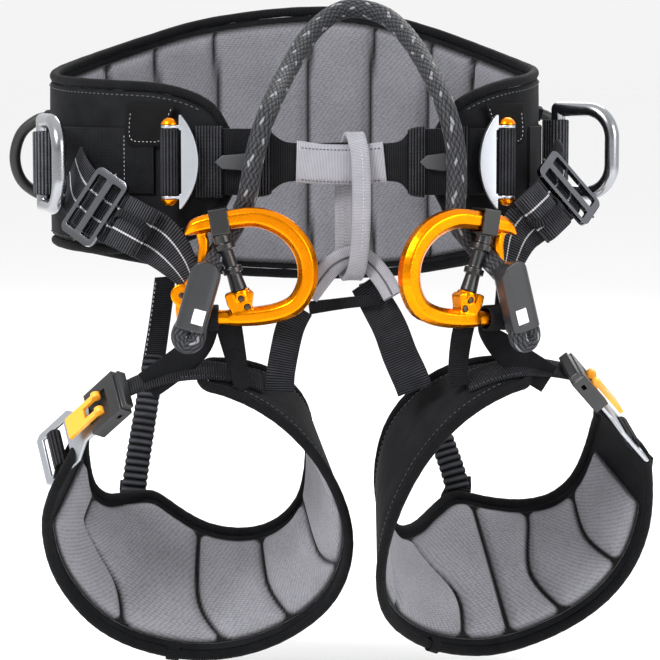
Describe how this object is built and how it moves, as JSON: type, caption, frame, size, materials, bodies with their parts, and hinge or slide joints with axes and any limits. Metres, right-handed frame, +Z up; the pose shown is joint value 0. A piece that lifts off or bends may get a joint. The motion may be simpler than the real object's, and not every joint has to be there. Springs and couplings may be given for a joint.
{
  "type": "tree climbing saddle",
  "caption": "Padded waist belt and leg loops on a rope bridge with gated rings, side rings, gear loops and quick buckles, for climbing trees.",
  "frame": {"origin": "middle of the waist opening, at half the height of the waist webbing", "axes": "+Z up; +X to the viewer's right when looking at the saddle's front; +Y from the front towards the back"},
  "size_m": [0.4492, 0.2916, 0.4568],
  "materials": {
    "shell_fabric": "softshell, slightly brushed",
    "knit_mesh": "knitted spacer mesh over foam",
    "binding_tape": "folded woven tape",
    "black_webbing": "ribbed polyester webbing",
    "ribbed_elastic": "gathered elastic",
    "ring_tape": "coarse grey and black webbing",
    "grey_webbing": "fine grey webbing, white stitching",
    "pull_tab": "moulded tab",
    "wear_patch": "coated patch, stitched round",
    "rope": "braided rope with light flecks",
    "orange_anodised": "anodised, satin",
    "bare_aluminium": "forged and tumbled",
    "silver_plate": "bead blasted",
    "dark_steel": "polished dark",
    "gear_tube": "moulded tube",
    "black_nylon": "moulded, satin",
    "screw_steel": "dark",
    "grey_nylon": "moulded, satin",
    "window_white": "plain",
    "fork_orange": "moulded",
    "dark_nylon": "moulded with pale edges"
  },
  "bodies": {
    "belt": {"waistbelt_shell": "shell_fabric", "waistbelt_foam": "knit_mesh", "waistbelt_binding": "binding_tape", "waist_webbing": "black_webbing", "front_webbing": "black_webbing", "webbing_sleeve": "grey_webbing", "belay_loop": "grey_webbing", "crotch_arch": "grey_webbing", "webbing_keepers": "ribbed_elastic", "pull_tabs": "pull_tab", "wear_flaps": "wear_patch", "buckle_bars": "orange_anodised", "bar_wraps": "black_webbing", "dring_anchors": "ring_tape", "left_gear_loops": "gear_tube", "right_gear_loops": "gear_tube", "left_hip_strap": "black_webbing", "right_hip_strap": "black_webbing", "webbing_rolls": "black_webbing", "roll_keepers": "ribbed_elastic", "link_strap": "black_webbing", "adjuster_bars": "dark_steel", "left_rear_elastic": "ribbed_elastic", "right_rear_elastic": "ribbed_elastic", "left_crotch_strap": "black_webbing", "right_crotch_strap": "black_webbing"},
    "left_dring": {"left_dring": "bare_aluminium"},
    "right_dring": {"right_dring": "bare_aluminium"},
    "left_plate": {"left_buckle_plate": "silver_plate"},
    "right_plate": {"right_buckle_plate": "silver_plate"},
    "left_adjuster": {"left_adjuster_frame": "dark_steel"},
    "right_adjuster": {"right_adjuster_frame": "dark_steel"},
    "bridge": {"bridge_rope": "rope", "left_ring": "orange_anodised", "right_ring": "orange_anodised", "left_gate_bar": "black_nylon", "right_gate_bar": "black_nylon", "gate_screws": "screw_steel", "left_rope_stop": "grey_nylon", "right_rope_stop": "grey_nylon", "stop_windows": "window_white", "rope_folds": "rope"},
    "left_leg": {"left_leg_shell": "shell_fabric", "left_leg_foam": "knit_mesh", "left_leg_binding": "binding_tape", "left_leg_webbing": "black_webbing", "left_riser_straps": "black_webbing", "left_fast_frame": "silver_plate", "left_fast_wrap": "black_webbing", "left_fast_body": "dark_nylon"},
    "left_lever": {"left_fast_lever": "fork_orange"},
    "right_leg": {"right_leg_shell": "shell_fabric", "right_leg_foam": "knit_mesh", "right_leg_binding": "binding_tape", "right_leg_webbing": "black_webbing", "right_riser_straps": "black_webbing", "right_fast_frame": "silver_plate", "right_fast_wrap": "black_webbing", "right_fast_body": "dark_nylon"},
    "right_lever": {"right_fast_lever": "fork_orange"}
  },
  "joints": [
    {"name": "left_dring_turn", "type": "hinge", "parent": "belt", "child": "left_dring", "pos_m": [-0.205, -0.052, -0.003], "axis": [0, 0, 1], "range_deg": [-165, 0]},
    {"name": "right_dring_turn", "type": "hinge", "parent": "belt", "child": "right_dring", "pos_m": [0.151, -0.008, 0.004], "axis": [0, 0, 1], "range_deg": [-30, 90]},
    {"name": "left_plate_turn", "type": "hinge", "parent": "belt", "child": "left_plate", "pos_m": [-0.115, -0.114, 0], "axis": [0, 0, 1], "range_deg": [-25, 0]},
    {"name": "right_plate_turn", "type": "hinge", "parent": "belt", "child": "right_plate", "pos_m": [0.108, -0.108, 0], "axis": [0, 0, 1], "range_deg": [0, 25]},
    {"name": "left_adjuster_tilt", "type": "hinge", "parent": "belt", "child": "left_adjuster", "pos_m": [-0.1653, -0.10428, -0.03032], "axis": [0.55, 0.0262, 0.8347], "range_deg": [-8, 8]},
    {"name": "right_adjuster_tilt", "type": "hinge", "parent": "belt", "child": "right_adjuster", "pos_m": [0.15066, -0.09203, -0.01848], "axis": [0.6545, 0.1277, -0.7452], "range_deg": [-2, 8]},
    {"name": "bridge_swing", "type": "hinge", "parent": "belt", "child": "bridge", "pos_m": [0, -0.136, -0.101], "axis": [1, 0, 0], "range_deg": [0, 20], "deforming": ["left_hip_strap", "right_hip_strap"]},
    {"name": "left_leg_swing", "type": "hinge", "parent": "belt", "child": "left_leg", "pos_m": [-0.09, -0.136, -0.101], "axis": [1, 0, 0], "range_deg": [-20, 12], "stiffness_Nm_per_rad": 1.2, "springref_deg": 12.61, "deforming": ["left_rear_elastic", "left_crotch_strap", "left_riser_straps"]},
    {"name": "right_leg_swing", "type": "hinge", "parent": "belt", "child": "right_leg", "pos_m": [0.0995, -0.136, -0.101], "axis": [1, 0, 0], "range_deg": [-20, 12], "stiffness_Nm_per_rad": 1.2, "springref_deg": 12.61, "deforming": ["right_rear_elastic", "right_crotch_strap", "right_riser_straps"]},
    {"name": "left_lever_lift", "type": "hinge", "parent": "left_leg", "child": "left_lever", "pos_m": [-0.16228, -0.13443, -0.15799], "axis": [-0.2527, 0.6546, 0.7125], "range_deg": [0, 30], "stiffness_Nm_per_rad": 0.02},
    {"name": "right_lever_lift", "type": "hinge", "parent": "right_leg", "child": "right_lever", "pos_m": [0.16649, -0.11667, -0.14334], "axis": [0.2043, -0.8932, -0.4007], "range_deg": [0, 30], "stiffness_Nm_per_rad": 0.02}
  ]
}
